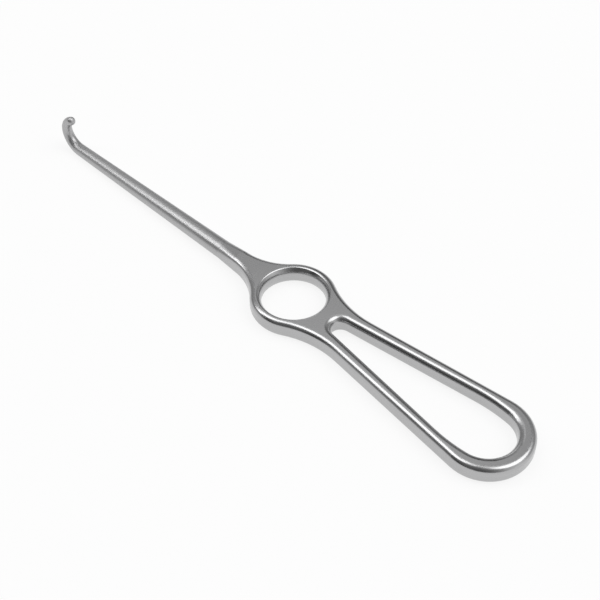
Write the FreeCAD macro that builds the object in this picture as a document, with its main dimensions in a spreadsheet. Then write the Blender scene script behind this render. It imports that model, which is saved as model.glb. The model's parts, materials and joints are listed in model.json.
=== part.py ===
import FreeCAD, Part
import Sketcher
import math
import os
from FreeCAD import Vector

# A hand-held surgical retractor: one steel forging, 220 mm long.
# It has a drop-shaped loop handle, a finger ring and a tapering round shaft
# that ends in a single blunt hook.
# Millimetres. The origin is the middle of the finger ring at half thickness,
# +X runs to the end of the handle and the hook rises towards +Z.
# The underside is one flat level from the handle to the heel of the hook.

SIZES = {
    # Finger ring and handle, seen in plan
    "plate_thickness": 6.6,
    "ring_hole_diameter": 21.8,
    "ring_band_width": 3.9,
    "handle_reach": 97.7,
    "bow_radius": 15.35,
    "fork_width": 15.9,
    "neck_radius": 33.6,
    # Opening of the handle, given mostly by the steel that is left round it
    "fork_web": 7.4,
    "arm_front_width": 4.95,
    "arm_rear_width": 4.3,
    "bow_end_width": 5.85,
    "bow_shoulder_width": 5.4,
    "opening_side_radius": 55.0,
    # Rounding of the long edges, and the least flat between two of them
    "outline_edge_radius": 2.0,
    "opening_edge_radius": 2.1,
    "least_flat": 0.15,
    # Wall of the ring's hole: a short straight land between two domed flanks
    "ring_land": 1.0,
    "ring_wall_crown": 1.4,
    "ring_rim_radius": 0.7,
    # Shaft: flat-topped at its root, round past the blend
    "root_reach": 26.2,
    "root_width": 6.95,
    "blend_length": 8.0,
    "heel_reach": 113.75,
    "heel_width": 4.5,
    "heel_thickness": 4.35,
    # Hook
    "heel_bend_radius": 6.7,
    "heel_bend_angle": 71.0,
    "tip_bend_radius": 5.95,
    "tip_bend_angle": 78.0,
    "tip_length": 2.15,
    "tip_diameter": 3.1,
}

NODE = "retractor"

# Places on the outline, worked out once so that each sketch starts in its final shape
RING_HOLE_RADIUS = SIZES["ring_hole_diameter"] / 2
RING_RADIUS = RING_HOLE_RADIUS + SIZES["ring_band_width"]
NOSE_X = RING_HOLE_RADIUS + SIZES["fork_web"]

# Geometry numbers that a sketch gives to its axes, and codes of an element's own points
ROOT_POINT = -1
X_AXIS = -1
Y_AXIS = -2
BEGIN = 1
FINISH = 2
CENTRE = 3

TOLERANCE = 0.001

# Roundings in the sheet's names. Each is held back where the steel beside it would run out,
# and the pair on the narrowest band or arm leaves the least flat between them.
OUTLINE_ROUNDING = ("min(sizes.outline_edge_radius; (sizes.plate_thickness - sizes.least_flat) / 2;"
                    " (sizes.root_width - sizes.least_flat) / 2)")
# The ring's dome takes at most this share of the room inside the outline's rounding. Its flank
# meets the flat bluntly, so a rim rounding reaches into the flat by less than half its radius.
CROWN_SHARE = 0.8
RIM_STRETCH = 2
RING_ROOM = "(sizes.ring_band_width - sizes.least_flat - %s)" % OUTLINE_ROUNDING
RING_CROWN = "min(sizes.ring_wall_crown; %s * %s)" % (CROWN_SHARE, RING_ROOM)
LOOP_ROUNDINGS = {
    "outline": OUTLINE_ROUNDING,
    "opening": "min(sizes.opening_edge_radius; (sizes.plate_thickness - sizes.least_flat) / 2;"
               " sizes.arm_rear_width - sizes.least_flat - %s)" % OUTLINE_ROUNDING,
    "ring": "min(sizes.ring_rim_radius; %s * (%s - %s))" % (RIM_STRETCH, RING_ROOM, RING_CROWN),
}


def make_sheet(doc):
    """The driving dimensions, one aliased cell each."""
    sheet = doc.addObject("Spreadsheet::Sheet", "sizes")
    for row, (name, size) in enumerate(SIZES.items(), start=1):
        sheet.set("A%d" % row, name)
        sheet.set("B%d" % row, str(size))
        sheet.setAlias("B%d" % row, name)
    doc.recompute()
    return sheet


def new_sketch(body, name, role):
    """A sketch on one of the body's own origin planes."""
    sketch = body.newObject("Sketcher::SketchObject", name)
    planes = [feature for feature in body.Origin.OriginFeatures if feature.Role == role]
    sketch.AttachmentSupport = [(planes[0], "")]
    sketch.MapMode = "FlatFace"
    return sketch


def add_line(sketch, first, last, construction=False):
    line = Part.LineSegment(Vector(*first, 0), Vector(*last, 0))
    return sketch.addGeometry(line, construction), BEGIN, FINISH


def add_arc(sketch, centre, first, last, clockwise=False):
    """An arc about centre, returned with its own point codes in path order."""
    if clockwise:
        first, last = last, first
    radius = math.dist(centre, first)
    circle = Part.Circle(Vector(*centre, 0), Vector(0, 0, 1), radius)
    angles = [math.atan2(end[1] - centre[1], end[0] - centre[0]) for end in (first, last)]
    index = sketch.addGeometry(Part.ArcOfCircle(circle, *angles), False)
    return (index, FINISH, BEGIN) if clockwise else (index, BEGIN, FINISH)


def tie(sketch, kind, before, after):
    """Joins the end of one element to the start of the next."""
    sketch.addConstraint(Sketcher.Constraint(kind, before[0], before[2], after[0], after[1]))


def dimension(sketch, name, expression, *constraint):
    """A named dimension, bound to the sheet."""
    index = sketch.addConstraint(Sketcher.Constraint(*constraint))
    sketch.renameConstraint(index, name)
    sketch.setExpression("Constraints." + name, expression)


def mirrored(point):
    return point[0], -point[1]


def along(point, direction, distance):
    return point[0] + direction[0] * distance, point[1] + direction[1] * distance


def dot(one, other):
    return one[0] * other[0] + one[1] * other[1]


def direction_at(angle):
    return math.cos(angle), math.sin(angle)


def square_to(direction):
    return -direction[1], direction[0]


def side_line():
    """Start point, direction and tangent point of the straight outer side of the handle."""
    front = (NOSE_X, SIZES["fork_width"] / 2)
    bow_centre = (SIZES["handle_reach"] - SIZES["bow_radius"], 0)
    span = math.dist(front, bow_centre)
    slope = math.atan2(-front[1], bow_centre[0] - front[0]) + math.asin(SIZES["bow_radius"] / span)
    direction = direction_at(slope)
    return front, direction, along(bow_centre, square_to(direction), SIZES["bow_radius"]), bow_centre


def draw_outline(sketch):
    """The outline of ring and handle, ending in the straight face where the shaft starts."""
    heel = (-SIZES["heel_reach"], SIZES["heel_width"] / 2)
    root = (-SIZES["root_reach"], SIZES["root_width"] / 2)
    front, side, side_end, bow_centre = side_line()

    # Flare from the shaft into the ring
    taper = math.atan2(root[1] - heel[1], root[0] - heel[0])
    outward = square_to(direction_at(taper))
    flare_radius = (dot(root, root) - RING_RADIUS**2) / (2 * (RING_RADIUS - dot(root, outward)))
    flare_centre = along(root, outward, flare_radius)
    flare_end = along((0, 0), flare_centre, RING_RADIUS / (RING_RADIUS + flare_radius))

    # Neck from the ring into the straight side
    outward = square_to(side)
    rise = dot(front, outward)
    neck_radius = SIZES["neck_radius"]
    run = math.sqrt((RING_RADIUS + neck_radius) ** 2 - (rise + neck_radius) ** 2)
    side_start = along(along((0, 0), outward, rise), side, run)
    neck_centre = along(side_start, outward, neck_radius)
    neck_start = along((0, 0), neck_centre, RING_RADIUS / (RING_RADIUS + neck_radius))

    shaft_side = add_line(sketch, heel, root, construction=True)
    upper = [
        add_arc(sketch, flare_centre, root, flare_end),
        add_arc(sketch, (0, 0), flare_end, neck_start, clockwise=True),
        add_arc(sketch, neck_centre, neck_start, side_start),
        add_line(sketch, side_start, side_end),
    ]
    bow = add_arc(sketch, bow_centre, side_end, mirrored(side_end), clockwise=True)
    lower = [
        add_line(sketch, mirrored(side_end), mirrored(side_start)),
        add_arc(sketch, mirrored(neck_centre), mirrored(side_start), mirrored(neck_start)),
        add_arc(sketch, (0, 0), mirrored(neck_start), mirrored(flare_end), clockwise=True),
        add_arc(sketch, mirrored(flare_centre), mirrored(flare_end), mirrored(root)),
    ]
    root_face = add_line(sketch, mirrored(root), root)
    fork_point = sketch.addGeometry(Part.Point(Vector(*front, 0)), True)

    for before, after in zip([shaft_side] + upper, upper + [bow]):
        tie(sketch, "Tangent", before, after)
    for before, after in zip([bow] + lower + [root_face], lower + [root_face, upper[0]]):
        tie(sketch, "Coincident", before, after)
    for above, below in zip(upper, reversed(lower)):
        ends = (above[0], above[1], below[0], below[2])
        sketch.addConstraint(Sketcher.Constraint("Symmetric", *ends, X_AXIS))
    ends = (bow[0], bow[1], bow[0], bow[2])
    sketch.addConstraint(Sketcher.Constraint("Symmetric", *ends, X_AXIS))
    for above, below in zip(upper[:3], reversed(lower[1:])):
        sketch.addConstraint(Sketcher.Constraint("Equal", above[0], below[0]))
    ring_arc = upper[1][0]
    sketch.addConstraint(Sketcher.Constraint("Coincident", ring_arc, CENTRE, ROOT_POINT, BEGIN))
    sketch.addConstraint(Sketcher.Constraint("PointOnObject", bow[0], CENTRE, X_AXIS))
    sketch.addConstraint(Sketcher.Constraint("PointOnObject", fork_point, BEGIN, upper[3][0]))

    dimension(sketch, "heel_reach", "sizes.heel_reach",
              "DistanceX", shaft_side[0], BEGIN, ROOT_POINT, BEGIN, -heel[0])
    dimension(sketch, "heel_half", "sizes.heel_width / 2",
              "DistanceY", ROOT_POINT, BEGIN, shaft_side[0], BEGIN, heel[1])
    dimension(sketch, "root_reach", "sizes.root_reach",
              "DistanceX", shaft_side[0], FINISH, ROOT_POINT, BEGIN, -root[0])
    dimension(sketch, "root_half", "sizes.root_width / 2",
              "DistanceY", ROOT_POINT, BEGIN, shaft_side[0], FINISH, root[1])
    dimension(sketch, "ring_radius", "sizes.ring_hole_diameter / 2 + sizes.ring_band_width",
              "Radius", ring_arc, RING_RADIUS)
    dimension(sketch, "neck_radius", "sizes.neck_radius", "Radius", upper[2][0], neck_radius)
    dimension(sketch, "fork_x", "sizes.ring_hole_diameter / 2 + sizes.fork_web",
              "DistanceX", ROOT_POINT, BEGIN, fork_point, BEGIN, front[0])
    dimension(sketch, "fork_half", "sizes.fork_width / 2",
              "DistanceY", ROOT_POINT, BEGIN, fork_point, BEGIN, front[1])
    dimension(sketch, "bow_radius", "sizes.bow_radius", "Radius", bow[0], SIZES["bow_radius"])
    dimension(sketch, "bow_centre", "sizes.handle_reach - sizes.bow_radius",
              "DistanceX", ROOT_POINT, BEGIN, bow[0], CENTRE, bow_centre[0])
    return upper[3]


def draw_opening(sketch, side):
    """The drop-shaped opening, kept at its distances from the outer side."""
    front, outer_direction, _, bow_centre = side_line()
    outer_normal = square_to(outer_direction)
    outer_rise = dot(front, outer_normal)
    front_width = SIZES["arm_front_width"]
    rear_width = SIZES["arm_rear_width"]
    side_radius = SIZES["opening_side_radius"]
    rear_radius = SIZES["bow_radius"] - SIZES["bow_shoulder_width"]
    rear_centre = (SIZES["handle_reach"] - SIZES["bow_end_width"] - rear_radius, 0)

    # The inner side leans a little more than the outer one, because the arm
    # narrows; the lean settles after a few rounds.
    lean = 0.0
    for _ in range(30):
        slope = math.atan2(outer_direction[1], outer_direction[0]) + lean
        inner_direction = direction_at(slope)
        inner_normal = square_to(inner_direction)
        sine = outer_direction[1]
        nose_radius = (outer_rise - front_width + sine * NOSE_X) / (math.cos(lean) - sine)
        nose_centre = (NOSE_X + nose_radius, 0)
        nose_end = along(nose_centre, inner_normal, nose_radius)
        rise = dot(nose_end, inner_normal)
        drop = dot(rear_centre, inner_normal) - rise + side_radius
        reach = math.sqrt((side_radius - rear_radius) ** 2 - drop**2)
        side_end = along(nose_end, inner_direction,
                         dot(rear_centre, inner_direction) - reach - dot(nose_end, inner_direction))
        lean = math.asin((front_width - rear_width) / math.dist(nose_end, side_end))
    side_centre = along(side_end, inner_normal, -side_radius)
    stretch = side_radius / (side_radius - rear_radius)
    rear_start = (side_centre[0] + (rear_centre[0] - side_centre[0]) * stretch,
                  side_centre[1] + (rear_centre[1] - side_centre[1]) * stretch)

    nose = add_arc(sketch, nose_centre, mirrored(nose_end), nose_end, clockwise=True)
    upper = [
        add_line(sketch, nose_end, side_end),
        add_arc(sketch, side_centre, side_end, rear_start, clockwise=True),
    ]
    rear = add_arc(sketch, rear_centre, rear_start, mirrored(rear_start), clockwise=True)
    lower = [
        add_arc(sketch, mirrored(side_centre), mirrored(rear_start), mirrored(side_end), clockwise=True),
        add_line(sketch, mirrored(side_end), mirrored(nose_end)),
    ]
    nose_point = sketch.addGeometry(Part.Point(Vector(NOSE_X, 0, 0)), True)

    for before, after in zip([nose] + upper, upper + [rear]):
        tie(sketch, "Tangent", before, after)
    for before, after in zip([rear] + lower, lower + [nose]):
        tie(sketch, "Coincident", before, after)
    for above, below in ((nose, nose), (upper[0], lower[1]), (rear, rear)):
        outer_end = above[2] if above is not rear else above[1]
        lower_end = below[1] if below is not rear else below[2]
        ends = (above[0], outer_end, below[0], lower_end)
        sketch.addConstraint(Sketcher.Constraint("Symmetric", *ends, X_AXIS))
    for end_arc in (nose, rear):
        sketch.addConstraint(Sketcher.Constraint("PointOnObject", end_arc[0], CENTRE, X_AXIS))
    sketch.addConstraint(Sketcher.Constraint("Equal", upper[1][0], lower[0][0]))
    sketch.addConstraint(Sketcher.Constraint("PointOnObject", nose_point, BEGIN, X_AXIS))
    sketch.addConstraint(Sketcher.Constraint("PointOnObject", nose_point, BEGIN, nose[0]))

    dimension(sketch, "nose_x", "sizes.ring_hole_diameter / 2 + sizes.fork_web",
              "DistanceX", ROOT_POINT, BEGIN, nose_point, BEGIN, NOSE_X)
    dimension(sketch, "arm_front", "sizes.arm_front_width",
              "Distance", upper[0][0], BEGIN, side[0], front_width)
    dimension(sketch, "arm_rear", "sizes.arm_rear_width",
              "Distance", upper[0][0], FINISH, side[0], rear_width)
    dimension(sketch, "side_radius", "sizes.opening_side_radius", "Radius", upper[1][0], side_radius)
    dimension(sketch, "rear_radius", "sizes.bow_radius - sizes.bow_shoulder_width",
              "Radius", rear[0], rear_radius)
    dimension(sketch, "rear_centre",
              "sizes.handle_reach - sizes.bow_end_width - sizes.bow_radius + sizes.bow_shoulder_width",
              "DistanceX", ROOT_POINT, BEGIN, rear[0], CENTRE, rear_centre[0])


def draw_ring_hole(sketch):
    """Half a section through the ring's hole, from its axis out to the domed wall."""
    half = SIZES["plate_thickness"] / 2
    half_land = SIZES["ring_land"] / 2
    crown = float(sketch.evalExpression(RING_CROWN))
    rim = RING_HOLE_RADIUS + crown
    flank_radius = (crown**2 + (half - half_land) ** 2) / (2 * crown)
    centre_x = RING_HOLE_RADIUS + flank_radius

    axis = add_line(sketch, (0, half), (0, -half))
    floor = add_line(sketch, (0, -half), (rim, -half))
    lower = add_arc(sketch, (centre_x, -half_land), (rim, -half),
                    (RING_HOLE_RADIUS, -half_land), clockwise=True)
    land = add_line(sketch, (RING_HOLE_RADIUS, -half_land), (RING_HOLE_RADIUS, half_land))
    upper = add_arc(sketch, (centre_x, half_land), (RING_HOLE_RADIUS, half_land),
                    (rim, half), clockwise=True)
    roof = add_line(sketch, (rim, half), (0, half))

    for before, after in ((axis, floor), (floor, lower), (upper, roof), (roof, axis)):
        tie(sketch, "Coincident", before, after)
    for before, after in ((lower, land), (land, upper)):
        tie(sketch, "Tangent", before, after)
    for upright in (axis, land):
        ends = (upright[0], BEGIN, upright[0], FINISH)
        sketch.addConstraint(Sketcher.Constraint("Symmetric", *ends, X_AXIS))
    for level in (floor, roof):
        sketch.addConstraint(Sketcher.Constraint("Horizontal", level[0]))
    sketch.addConstraint(Sketcher.Constraint("PointOnObject", axis[0], BEGIN, Y_AXIS))
    sketch.addConstraint(Sketcher.Constraint("Equal", lower[0], upper[0]))

    dimension(sketch, "half_thickness", "sizes.plate_thickness / 2",
              "DistanceY", ROOT_POINT, BEGIN, roof[0], BEGIN, half)
    dimension(sketch, "hole_radius", "sizes.ring_hole_diameter / 2",
              "DistanceX", ROOT_POINT, BEGIN, land[0], BEGIN, RING_HOLE_RADIUS)
    dimension(sketch, "land", "sizes.ring_land",
              "DistanceY", land[0], BEGIN, land[0], FINISH, SIZES["ring_land"])
    dimension(sketch, "rim_radius", "sizes.ring_hole_diameter / 2 + " + RING_CROWN,
              "DistanceX", ROOT_POINT, BEGIN, roof[0], BEGIN, rim)


def draw_section(sketch, base, width, height, corner):
    """A rounded rectangle that stands on the level base, its sides equally far from the middle.

    All four are expressions in the sheet's names.
    """
    low_side, wide, tall, radius = (float(sketch.evalExpression(size))
                                    for size in (base, width, height, corner))
    half, top = wide / 2, low_side + tall
    inner, low, high = half - radius, low_side + radius, top - radius
    corners = [
        add_arc(sketch, (inner, low), (inner, low_side), (half, low)),
        add_arc(sketch, (inner, high), (half, high), (inner, top)),
        add_arc(sketch, (-inner, high), (-inner, top), (-half, high)),
        add_arc(sketch, (-inner, low), (-half, low), (-inner, low_side)),
    ]
    sides = [
        add_line(sketch, (half, low), (half, high)),
        add_line(sketch, (inner, top), (-inner, top)),
        add_line(sketch, (-half, high), (-half, low)),
        add_line(sketch, (-inner, low_side), (inner, low_side)),
    ]
    for number in range(4):
        tie(sketch, "Tangent", corners[number], sides[number])
        tie(sketch, "Tangent", sides[number], corners[(number + 1) % 4])
    for other in corners[1:]:
        sketch.addConstraint(Sketcher.Constraint("Equal", corners[0][0], other[0]))
    right, roof, left, floor = (side[0] for side in sides)
    for upright in (right, left):
        sketch.addConstraint(Sketcher.Constraint("Vertical", upright))
    for level in (roof, floor):
        sketch.addConstraint(Sketcher.Constraint("Horizontal", level))
    dimension(sketch, "half_width", "(%s) / 2" % width,
              "DistanceX", ROOT_POINT, BEGIN, right, BEGIN, half)
    dimension(sketch, "full_width", width, "DistanceX", left, BEGIN, right, BEGIN, wide)
    dimension(sketch, "floor_level", "-(%s)" % base,
              "DistanceY", floor, BEGIN, ROOT_POINT, BEGIN, -low_side)
    dimension(sketch, "full_height", height, "DistanceY", floor, BEGIN, roof, BEGIN, tall)
    dimension(sketch, "corner_radius", corner, "Radius", corners[0][0], radius)


def shaft_section(body, name, reach, round_bar=True):
    """A section of the tapering shaft, square to X, with its underside on the plate's level.

    Its corners are those of a round bar, or else the plate's own edge rounding.
    """
    sketch = new_sketch(body, name, "YZ_Plane")
    sketch.setExpression("AttachmentOffset.Base.z", "-(%s)" % reach)
    share = "((%s) - sizes.root_reach) / (sizes.heel_reach - sizes.root_reach)" % reach
    width = "sizes.root_width + (sizes.heel_width - sizes.root_width) * " + share
    height = "sizes.plate_thickness + (sizes.heel_thickness - sizes.plate_thickness) * " + share
    round_corner = "(min(%s; %s) - sizes.least_flat) / 2" % (width, height)
    corner = round_corner if round_bar else OUTLINE_ROUNDING
    draw_section(sketch, "-sizes.plate_thickness / 2", width, height, corner)
    return sketch


def edge_names(shape, edges):
    return ["Edge%d" % number for number, edge in enumerate(shape.Edges, start=1)
            if any(edge.isSame(wanted) for wanted in edges)]


def sharp_edges(shape, loop):
    """Names of the edges round one loop of the two flat sides: outline, ring or opening."""
    found = []
    for face in shape.Faces:
        if face.BoundBox.ZLength > TOLERANCE:
            continue
        for wire in face.Wires:
            if wire.isSame(face.OuterWire):
                name = "outline"
            elif wire.BoundBox.XMin < 0:
                name = "ring"
            else:
                name = "opening"
            if name == loop:
                found += wire.Edges
    root_level = -SIZES["root_reach"] + TOLERANCE
    return edge_names(shape, [edge for edge in found if edge.BoundBox.XMax > root_level])


def add_rounding(body, name, base, edges, radius):
    fillet = body.newObject("PartDesign::Fillet", name)
    fillet.Base = (base, edges)
    fillet.setExpression("Radius", radius)
    body.Document.recompute()
    return fillet


def add_plate(body):
    """Ring and handle: one flat plate with all its long edges rounded."""
    plan = new_sketch(body, "plan", "XY_Plane")
    side = draw_outline(plan)
    draw_opening(plan, side)
    plate = body.newObject("PartDesign::Pad", "plate")
    plate.Profile = plan
    plate.SideType = "Symmetric"
    plate.setExpression("Length", "sizes.plate_thickness")

    ring_section = new_sketch(body, "ring_section", "XZ_Plane")
    draw_ring_hole(ring_section)
    ring_hole = body.newObject("PartDesign::Groove", "ring_hole")
    ring_hole.Profile = ring_section
    ring_hole.ReferenceAxis = (ring_section, ["V_Axis"])
    ring_hole.Angle = 360
    body.Document.recompute()

    feature = ring_hole
    for loop, radius in LOOP_ROUNDINGS.items():
        edges = sharp_edges(feature.Shape, loop)
        feature = add_rounding(body, loop + "_rounding", feature, edges, radius)


def add_loft(body, name, first, last):
    loft = body.newObject("PartDesign::AdditiveLoft", name)
    loft.Profile = first
    loft.Sections = [last]


def add_shaft(body):
    """The tapering shaft: a short blend out of the flat plate, then a round bar to the heel."""
    blend_reach = "sizes.root_reach + sizes.blend_length"
    root = shaft_section(body, "root", "sizes.root_reach", round_bar=False)
    blend_end = shaft_section(body, "blend_end", blend_reach)
    add_loft(body, "blend", root, blend_end)

    thick_end = shaft_section(body, "thick_end", blend_reach)
    thin_end = shaft_section(body, "thin_end", "sizes.heel_reach")
    add_loft(body, "shaft", thick_end, thin_end)


def draw_hook_path(sketch):
    """The centre line of the hook: two bends that turn the same way, then a straight tip.

    Returns the point where it ends and the way that it points there.
    """
    start = (-SIZES["heel_reach"], (SIZES["heel_thickness"] - SIZES["plate_thickness"]) / 2)
    heel_radius = SIZES["heel_bend_radius"]
    tip_radius = SIZES["tip_bend_radius"]
    heel_turn = math.radians(SIZES["heel_bend_angle"])
    whole_turn = heel_turn + math.radians(SIZES["tip_bend_angle"])
    outward = (-math.sin(heel_turn), -math.cos(heel_turn))
    heel_centre = along(start, (0, 1), heel_radius)
    meeting = along(heel_centre, outward, heel_radius)
    tip_centre = along(meeting, outward, -tip_radius)
    bend_end = along(tip_centre, (-math.sin(whole_turn), -math.cos(whole_turn)), tip_radius)
    heading = (-math.cos(whole_turn), math.sin(whole_turn))
    end = along(bend_end, heading, SIZES["tip_length"])

    heel_bend = add_arc(sketch, heel_centre, start, meeting, clockwise=True)
    tip_bend = add_arc(sketch, tip_centre, meeting, bend_end, clockwise=True)
    tip = add_line(sketch, bend_end, end)
    tie(sketch, "Tangent", heel_bend, tip_bend)
    tie(sketch, "Tangent", tip_bend, tip)
    dimension(sketch, "start_x", "sizes.heel_reach",
              "DistanceX", heel_bend[0], heel_bend[1], ROOT_POINT, BEGIN, -start[0])
    dimension(sketch, "start_drop", "(sizes.plate_thickness - sizes.heel_thickness) / 2",
              "DistanceY", heel_bend[0], heel_bend[1], ROOT_POINT, BEGIN, -start[1])
    dimension(sketch, "centre_x", "sizes.heel_reach",
              "DistanceX", heel_bend[0], CENTRE, ROOT_POINT, BEGIN, -start[0])
    dimension(sketch, "heel_radius", "sizes.heel_bend_radius", "Radius", heel_bend[0], heel_radius)
    dimension(sketch, "tip_radius", "sizes.tip_bend_radius", "Radius", tip_bend[0], tip_radius)
    dimension(sketch, "heel_turn", "sizes.heel_bend_angle * 1 deg", "Angle", heel_bend[0], heel_turn)
    dimension(sketch, "tip_turn", "sizes.tip_bend_angle * 1 deg", "Angle", tip_bend[0],
              math.radians(SIZES["tip_bend_angle"]))
    dimension(sketch, "tip_length", "sizes.tip_length",
              "Distance", tip[0], BEGIN, tip[0], FINISH, SIZES["tip_length"])
    return Vector(end[0], 0, end[1]), Vector(heading[0], 0, heading[1])


def add_hook(body):
    """The hook: the shaft's end bent up and over, thinning to a blunt rounded tip."""
    path = new_sketch(body, "hook_path", "XZ_Plane")
    tip_point, tip_heading = draw_hook_path(path)
    heel_section = shaft_section(body, "heel_section", "sizes.heel_reach")
    body.Document.recompute()

    numbered = list(enumerate(path.Shape.Edges, start=1))
    last = [number for number, edge in numbered
            if any(corner.Point.distanceToPoint(tip_point) < TOLERANCE for corner in edge.Vertexes)]
    tip_section = body.newObject("Sketcher::SketchObject", "tip_section")
    tip_section.AttachmentSupport = [(path, "Edge%d" % last[0])]
    tip_section.MapMode = "NormalToEdge"
    tip_section.MapPathParameter = 1
    draw_section(tip_section, "-sizes.tip_diameter / 2", "sizes.tip_diameter", "sizes.tip_diameter",
                 "(sizes.tip_diameter - sizes.least_flat) / 2")

    hook = body.newObject("PartDesign::AdditivePipe", "hook")
    hook.Profile = heel_section
    hook.Spine = (path, ["Edge%d" % number for number, _ in numbered])
    hook.Transformation = "Multisection"
    hook.Sections = [(tip_section, [""])]
    body.Document.recompute()

    rim = [edge for edge in hook.Shape.Edges
           if all(abs((corner.Point - tip_point).dot(tip_heading)) < TOLERANCE
                  and corner.Point.distanceToPoint(tip_point) < SIZES["tip_diameter"]
                  for corner in edge.Vertexes)]
    add_rounding(body, "tip_rounding", hook, edge_names(hook.Shape, rim),
                 "(sizes.tip_diameter - 2 * sizes.least_flat) / 2")


def check(doc, body):
    """Stops before anything is written if a feature failed or the body is not one sound solid."""
    for item in doc.Objects:
        if "Invalid" in item.State or "Error" in item.State:
            raise RuntimeError("%s failed: %s" % (item.Name, item.State))
    shape = body.Shape
    if shape.isNull() or not shape.isValid() or len(shape.Solids) != 1:
        raise RuntimeError("the body is not one valid solid")


def main():
    doc = FreeCAD.newDocument("retractor")
    make_sheet(doc)
    body = doc.addObject("PartDesign::Body", NODE)
    body.Label = NODE
    body.Placement = FreeCAD.Placement()
    add_plate(body)
    add_shaft(body)
    add_hook(body)
    doc.recompute()
    check(doc, body)
    os.makedirs("parts", exist_ok=True)
    body.Shape.exportStep("parts/%s.step" % NODE)
    box = body.Shape.optimalBoundingBox()
    print("%s: %.1f cubic mm, %.2f x %.2f x %.2f mm" % (
        NODE, body.Shape.Volume, box.XLength, box.YLength, box.ZLength))
    return doc


main()
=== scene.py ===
import json
import math

import bpy
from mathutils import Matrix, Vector


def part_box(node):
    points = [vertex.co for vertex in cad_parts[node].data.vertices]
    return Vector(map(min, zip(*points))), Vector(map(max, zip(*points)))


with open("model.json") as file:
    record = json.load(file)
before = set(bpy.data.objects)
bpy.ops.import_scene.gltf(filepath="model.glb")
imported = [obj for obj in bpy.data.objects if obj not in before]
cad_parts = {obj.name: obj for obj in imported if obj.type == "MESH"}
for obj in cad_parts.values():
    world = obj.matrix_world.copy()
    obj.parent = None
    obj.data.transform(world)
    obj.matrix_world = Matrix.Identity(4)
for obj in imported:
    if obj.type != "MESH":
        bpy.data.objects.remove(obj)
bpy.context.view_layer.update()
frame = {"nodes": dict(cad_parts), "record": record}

# Metres, in the part's own frame: the origin is the middle of the finger ring at half
# thickness, +X runs to the end of the handle and the hook rises towards +Z.
LOW_CORNER, HIGH_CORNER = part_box("retractor")
FLOOR_LEVEL = LOW_CORNER.z
HANDLE_END = HIGH_CORNER.x
BOW_RADIUS = HIGH_CORNER.y
FINGER_RING = frame["record"]["mounts"][0]
RING_MIDDLE = Vector(FINGER_RING["pos_m"])
RING_REACH = FINGER_RING["dims"]["r_mm"]
MILLIMETRE = 0.001

# The photograph's viewpoint, as a place in metres and two angles in degrees
CAMERA_PLACE = Vector((0.20846, -0.20950, 0.31076))
CAMERA_ELEVATION = 46.455
CAMERA_AZIMUTH = 44.443
CAMERA_LENS = 76.61
CAMERA_SENSOR = 36.0
CAMERA_CLIP = (0.01, 50.0)

# Floor. White is the share of plain white in what the camera and reflections see of it.
FLOOR_HALF = 6.0
FLOOR_COLOUR = (0.96, 0.96, 0.96)
FLOOR_WHITE = 0.85

# Lamps: round softboxes. Azimuth runs from +X towards +Y, elevation up from the floor,
# both in degrees, spread is the softbox's half-angle seen from the object, and level is
# its brightness, where 1 is white.
SOFTBOX_DISTANCE = 2.5
SOFTBOXES = {
    "key_softbox": {"azimuth": 41, "elevation": 58, "spread": 23, "level": 1.92},
    "overhead_softbox": {"azimuth": 202, "elevation": 69, "spread": 18, "level": 2.13},
    "side_softbox": {"azimuth": 212, "elevation": 40, "spread": 8, "level": 3.3},
}

# The room beyond them: an even grey, lighter at the horizon, with a few soft lighter and
# darker stretches of wall, whose levels are added to the grey
ROOM_LEVEL = 0.46
DARKEST_LEVEL = 0.02
HORIZON_LEVEL = 0.5
HORIZON_HEIGHT = 0.06
WALLS = {
    "lit_left": {"azimuth": 15, "elevation": 20, "spread": 22, "level": 0.75},
    "lit_left_top": {"azimuth": 15, "elevation": 66, "spread": 9, "level": 1.0},
    "lit_top": {"azimuth": 112, "elevation": 70, "spread": 12, "level": 0.30},
    "lit_rear": {"azimuth": 143, "elevation": 16, "spread": 6.5, "level": 1.30},
    "lit_rear_top": {"azimuth": 135, "elevation": 53, "spread": 5.5, "level": 0.90},
    "lit_right_top": {"azimuth": 205, "elevation": 55, "spread": 8, "level": 1.30},
    "lit_right_low": {"azimuth": 226, "elevation": 8, "spread": 10, "level": 0.25},
    "dim_rear": {"azimuth": 122, "elevation": 30, "spread": 9, "level": -0.50},
    "dim_right": {"azimuth": 240, "elevation": 34, "spread": 9, "level": -0.30},
    "dim_right_low": {"azimuth": 255, "elevation": 15, "spread": 10, "level": -0.30},
    "dim_front": {"azimuth": 305, "elevation": 31, "spread": 38, "level": -0.24},
    "dim_front_low": {"azimuth": 305, "elevation": 12, "spread": 25, "level": -0.10},
}

# Steel. Lengths are in millimetres on the instrument, levels run from 0 to 1.
STEEL_COLOUR = (0.458, 0.458, 0.462)
STEEL_TONE = 0.10
FLAT_ROUGHNESS = 0.26
EDGE_ROUGHNESS = 0.225
SHAFT_ROUGHNESS = 0.36
HOOK_ROUGHNESS = 0.42
SHAFT_FADE = (-24.0, -36.0)
SHAFT_RUN = (-36.0, -110.0)
ROUGHNESS_SPREAD = 0.05
EDGE_TILT = (0.75, 0.97)
CLOUDS = {"size": 7.0, "detail": 3.0}
BRUSHING = {"length": 14.0, "width": 0.32, "detail": 2.0}
POLISHING = {"length": 5.0, "width": 0.09, "detail": 2.0}
SCRATCHES = {"length": 4.5, "width": 0.05, "detail": 0.0}
SCRATCH_SLANT = 0.35
SCRATCH_LEVEL = (0.70, 0.76)
SIDE_DRIFT = 20.0
BRUSHING_HEIGHT = 0.0022
POLISHING_HEIGHT = 0.0005
SCRATCH_DEPTH = 0.0010

# Where the brushing turns from lengthwise to round the ring, round the bow and up the hook
RING_FADE = (16.0, 20.0)
BOW_FADE = (79.0, 85.0)
HOOK_FADE = (-114.0, -118.0)
ARM_SLOPE = 0.16
ARM_START = 18.0


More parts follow.
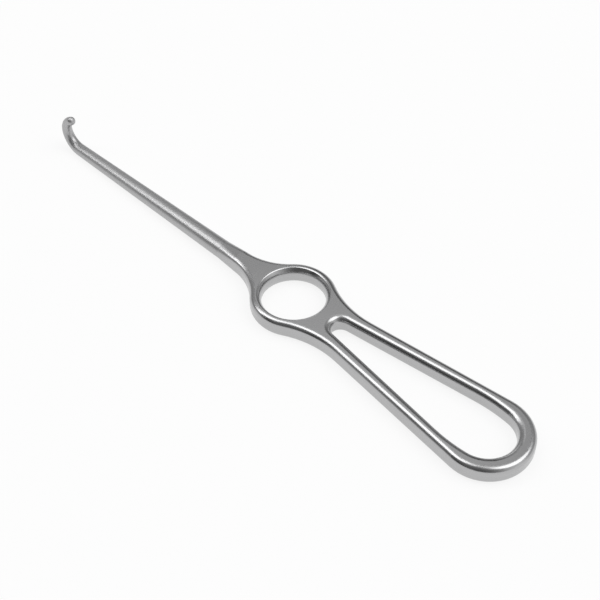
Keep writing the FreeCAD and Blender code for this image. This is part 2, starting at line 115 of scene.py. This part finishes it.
def direction(azimuth, elevation):
    """Unit vector from an azimuth and an elevation in degrees."""
    turn, rise = math.radians(azimuth), math.radians(elevation)
    return Vector((math.cos(rise) * math.cos(turn), math.cos(rise) * math.sin(turn), math.sin(rise)))


def new_tree(block):
    """An empty node tree on a material or a world."""
    block.use_nodes = True
    block.node_tree.nodes.clear()
    return block.node_tree


def plug(tree, value, socket):
    """Sets a socket to a number or links it to another socket."""
    if isinstance(value, bpy.types.NodeSocket):
        tree.links.new(value, socket)
    else:
        socket.default_value = value


def calculate(tree, operation, *values):
    """The result of one Math node on numbers or sockets."""
    node = tree.nodes.new("ShaderNodeMath")
    node.operation = operation
    for value, socket in zip(values, node.inputs):
        plug(tree, value, socket)
    return node.outputs[0]


def add_camera():
    """The photograph's camera."""
    data = bpy.data.cameras.new("camera")
    data.lens = CAMERA_LENS
    data.sensor_width = CAMERA_SENSOR
    data.clip_start, data.clip_end = CAMERA_CLIP
    camera = bpy.data.objects.new("camera", data)
    camera.location = CAMERA_PLACE
    camera.rotation_euler = (math.radians(90 - CAMERA_ELEVATION), 0, math.radians(CAMERA_AZIMUTH))
    bpy.context.scene.collection.objects.link(camera)
    bpy.context.scene.camera = camera


def add_floor():
    """A pale matt floor under the instrument."""
    material = bpy.data.materials.new("floor")
    tree = new_tree(material)
    output = tree.nodes.new("ShaderNodeOutputMaterial")
    surface = tree.nodes.new("ShaderNodeBsdfDiffuse")
    surface.inputs["Color"].default_value = (*FLOOR_COLOUR, 1)

    # Seen by the camera, or mirrored or seen through, the floor is mostly plain white
    white = tree.nodes.new("ShaderNodeEmission")
    path = tree.nodes.new("ShaderNodeLightPath")
    seen = path.outputs["Is Camera Ray"]
    for kind in ("Is Glossy Ray", "Is Transmission Ray"):
        seen = calculate(tree, "MAXIMUM", seen, path.outputs[kind])
    blend = tree.nodes.new("ShaderNodeMixShader")
    tree.links.new(calculate(tree, "MULTIPLY", seen, FLOOR_WHITE), blend.inputs["Fac"])
    tree.links.new(surface.outputs[0], blend.inputs[1])
    tree.links.new(white.outputs[0], blend.inputs[2])
    tree.links.new(blend.outputs[0], output.inputs["Surface"])

    mesh = bpy.data.meshes.new("floor")
    signs = ((-1, -1), (1, -1), (1, 1), (-1, 1))
    corners = [(x * FLOOR_HALF, y * FLOOR_HALF, FLOOR_LEVEL) for x, y in signs]
    mesh.from_pydata(corners, [], [(0, 1, 2, 3)])
    mesh.materials.append(material)
    floor = bpy.data.objects.new("floor", mesh)
    bpy.context.scene.collection.objects.link(floor)


def add_softbox(name, azimuth, elevation, spread, level):
    """A round lamp that faces the instrument."""
    radius = SOFTBOX_DISTANCE * math.tan(math.radians(spread))
    data = bpy.data.lights.new(name, "AREA")
    data.shape = "DISK"
    data.size = 2 * radius
    # Its brightness is its power over pi times its area
    area = math.pi * radius**2
    data.energy = level * math.pi * area
    lamp = bpy.data.objects.new(name, data)
    towards = direction(azimuth, elevation)
    lamp.location = towards * SOFTBOX_DISTANCE
    lamp.rotation_euler = towards.to_track_quat("Z", "Y").to_euler()
    bpy.context.scene.collection.objects.link(lamp)


def add_room():
    """The world: an even room with soft lighter and darker walls."""
    world = bpy.data.worlds.new("room")
    bpy.context.scene.world = world
    tree = new_tree(world)
    output = tree.nodes.new("ShaderNodeOutputWorld")
    background = tree.nodes.new("ShaderNodeBackground")
    tree.links.new(background.outputs[0], output.inputs["Surface"])
    way = tree.nodes.new("ShaderNodeTexCoord").outputs["Generated"]

    height = tree.nodes.new("ShaderNodeSeparateXYZ")
    tree.links.new(way, height.inputs[0])
    steepness = calculate(tree, "DIVIDE", height.outputs["Z"], HORIZON_HEIGHT)
    fade = calculate(tree, "MULTIPLY", calculate(tree, "POWER", steepness, 2.0), -1.0)
    fade = calculate(tree, "EXPONENT", fade)
    level = calculate(tree, "MULTIPLY_ADD", fade, HORIZON_LEVEL, ROOM_LEVEL)
    for wall in WALLS.values():
        alignment = tree.nodes.new("ShaderNodeVectorMath")
        alignment.operation = "DOT_PRODUCT"
        tree.links.new(way, alignment.inputs[0])
        alignment.inputs[1].default_value = direction(wall["azimuth"], wall["elevation"])
        gap = calculate(tree, "SUBTRACT", alignment.outputs["Value"], 1.0)
        falloff = calculate(tree, "MULTIPLY", gap, math.radians(wall["spread"]) ** -2)
        glow = calculate(tree, "EXPONENT", falloff)
        level = calculate(tree, "MULTIPLY_ADD", glow, wall["level"], level)
    level = calculate(tree, "MAXIMUM", level, DARKEST_LEVEL)
    tree.links.new(level, background.inputs["Strength"])


def ramp(tree, value, start, end):
    """0 at start and 1 at end, eased between them."""
    node = tree.nodes.new("ShaderNodeMapRange")
    node.interpolation_type = "SMOOTHSTEP"
    plug(tree, value, node.inputs["Value"])
    node.inputs["From Min"].default_value = min(start, end)
    node.inputs["From Max"].default_value = max(start, end)
    node.inputs["To Min"].default_value = 0 if start < end else 1
    node.inputs["To Max"].default_value = 1 if start < end else 0
    return node.outputs["Result"]


def mix(tree, share, first, second):
    """The first value where share is 0, the second where it is 1."""
    node = tree.nodes.new("ShaderNodeMix")
    for value, socket in zip((share, first, second), ("Factor", "A", "B")):
        plug(tree, value, node.inputs[socket])
    return node.outputs["Result"]


def millimetres(tree, coordinates):
    """The place on the instrument as x, y and z in millimetres."""
    scaled = tree.nodes.new("ShaderNodeVectorMath")
    scaled.operation = "SCALE"
    scaled.inputs["Scale"].default_value = 1 / MILLIMETRE
    tree.links.new(coordinates.outputs["Object"], scaled.inputs[0])
    parts = tree.nodes.new("ShaderNodeSeparateXYZ")
    tree.links.new(scaled.outputs["Vector"], parts.inputs[0])
    return parts.outputs["X"], parts.outputs["Y"], parts.outputs["Z"]


def noise(tree, place, drift, detail):
    """Noise in a place given by three values, which also changes slowly with drift."""
    point = tree.nodes.new("ShaderNodeCombineXYZ")
    for value, socket in zip(place, point.inputs):
        plug(tree, value, socket)
    node = tree.nodes.new("ShaderNodeTexNoise")
    node.noise_dimensions = "4D"
    tree.links.new(point.outputs[0], node.inputs["Vector"])
    plug(tree, drift, node.inputs["W"])
    node.inputs["Scale"].default_value = 1
    node.inputs["Detail"].default_value = detail
    return node.outputs["Fac"]


def lines(tree, route, drift, length, width, detail):
    """Lines of about the given length and width, in millimetres, that run along a route."""
    along, across, height = route
    place = [calculate(tree, "DIVIDE", value, size)
             for value, size in ((along, length), (across, width), (height, width))]
    return noise(tree, place, drift, detail)


def around(tree, x, y, centre):
    """The route round an upright axis at x = centre: way round, distance from the axis."""
    offset = calculate(tree, "SUBTRACT", x, centre)
    side = calculate(tree, "ABSOLUTE", y)
    reach = calculate(tree, "SQRT", calculate(tree, "MULTIPLY_ADD", offset, offset,
                                              calculate(tree, "MULTIPLY", side, side)))
    turn = calculate(tree, "ARCTAN2", side, offset)
    return calculate(tree, "MULTIPLY", turn, RING_REACH), reach


def brushing_routes(tree, x, y, z):
    """The routes of the brushing, each as along, across and height, with its share."""
    spread = calculate(tree, "MAXIMUM", calculate(tree, "SUBTRACT", x, ARM_START), 0.0)
    spread = calculate(tree, "MULTIPLY", spread, ARM_SLOPE)
    lengthwise = (x, calculate(tree, "SUBTRACT", calculate(tree, "ABSOLUTE", y), spread), z)
    ring_turn, ring_reach = around(tree, x, y, RING_MIDDLE.x / MILLIMETRE)
    bow_turn, bow_reach = around(tree, x, y, (HANDLE_END - BOW_RADIUS) / MILLIMETRE)
    return (
        (lengthwise, None),
        ((ring_turn, ring_reach, z), ramp(tree, ring_reach, *reversed(RING_FADE))),
        ((bow_turn, bow_reach, z), ramp(tree, x, *BOW_FADE)),
        ((z, x, y), ramp(tree, x, *HOOK_FADE)),
    )


def along_routes(tree, routes, drift, marks):
    """One kind of line on every route, each in its own stretch of the instrument."""
    result = None
    for route, share in routes:
        value = lines(tree, route, drift, **marks)
        result = value if share is None else mix(tree, share, result, value)
    return result


def slanting_scratches(tree, x, y, z, drift):
    """A few faint scratches from use and cleaning, slanting across the brushing."""
    slanted = calculate(tree, "MULTIPLY_ADD", x, -SCRATCH_SLANT, y)
    marks = lines(tree, (x, slanted, z), drift, **SCRATCHES)
    return ramp(tree, marks, *SCRATCH_LEVEL)


def plain_roughness(tree, x, normal):
    """Roughness without the marks: satin flats, smoother edges and walls, a rougher shaft and hook."""
    tilt = tree.nodes.new("ShaderNodeSeparateXYZ")
    tree.links.new(normal, tilt.inputs[0])
    flatness = ramp(tree, calculate(tree, "ABSOLUTE", tilt.outputs["Z"]), *EDGE_TILT)
    plate = mix(tree, flatness, EDGE_ROUGHNESS, FLAT_ROUGHNESS)
    bar = mix(tree, ramp(tree, x, *SHAFT_RUN), SHAFT_ROUGHNESS, HOOK_ROUGHNESS)
    return mix(tree, ramp(tree, x, *SHAFT_FADE), plate, bar)


def steel():
    """Satin stainless steel, brushed along the instrument's own lines."""
    material = bpy.data.materials.new("satin_steel")
    tree = new_tree(material)
    output = tree.nodes.new("ShaderNodeOutputMaterial")
    surface = tree.nodes.new("ShaderNodeBsdfPrincipled")
    surface.inputs["Metallic"].default_value = 1
    tree.links.new(surface.outputs[0], output.inputs["Surface"])

    coordinates = tree.nodes.new("ShaderNodeTexCoord")
    x, y, z = millimetres(tree, coordinates)
    drift = calculate(tree, "DIVIDE", y, SIDE_DRIFT)
    routes = brushing_routes(tree, x, y, z)
    brushing = along_routes(tree, routes, drift, BRUSHING)
    polishing = along_routes(tree, routes, drift, POLISHING)
    scratches = slanting_scratches(tree, x, y, z, drift)
    cloud_place = [calculate(tree, "DIVIDE", value, CLOUDS["size"]) for value in (x, y, z)]
    clouds = noise(tree, cloud_place, 0.0, CLOUDS["detail"])

    # Brushing and clouds together, which come out around 0
    marks = calculate(tree, "SUBTRACT", calculate(tree, "ADD", brushing, clouds), 1.0)

    roughness = plain_roughness(tree, x, coordinates.outputs["Normal"])
    roughness = calculate(tree, "MULTIPLY_ADD", marks, ROUGHNESS_SPREAD, roughness)
    roughness = calculate(tree, "MULTIPLY_ADD", scratches, ROUGHNESS_SPREAD, roughness)
    tree.links.new(roughness, surface.inputs["Roughness"])

    # Tone: the same marks, barely lighter and darker
    tone = calculate(tree, "MULTIPLY_ADD", marks, STEEL_TONE, 1.0)
    colour = tree.nodes.new("ShaderNodeVectorMath")
    colour.operation = "SCALE"
    colour.inputs[0].default_value = STEEL_COLOUR
    tree.links.new(tone, colour.inputs["Scale"])
    tree.links.new(colour.outputs["Vector"], surface.inputs["Base Color"])

    # Relief, as a height in millimetres
    relief = calculate(tree, "MULTIPLY", brushing, BRUSHING_HEIGHT)
    relief = calculate(tree, "MULTIPLY_ADD", polishing, POLISHING_HEIGHT, relief)
    relief = calculate(tree, "MULTIPLY_ADD", scratches, -SCRATCH_DEPTH, relief)
    bump = tree.nodes.new("ShaderNodeBump")
    bump.inputs["Strength"].default_value = 1
    bump.inputs["Distance"].default_value = MILLIMETRE
    tree.links.new(relief, bump.inputs["Height"])
    tree.links.new(bump.outputs["Normal"], surface.inputs["Normal"])
    return material


bpy.context.scene.view_settings.view_transform = "Standard"
add_camera()
add_floor()
for softbox, settings in SOFTBOXES.items():
    add_softbox(softbox, **settings)
add_room()
retractor = frame["nodes"]["retractor"]
retractor.material_slots[0].material = steel()
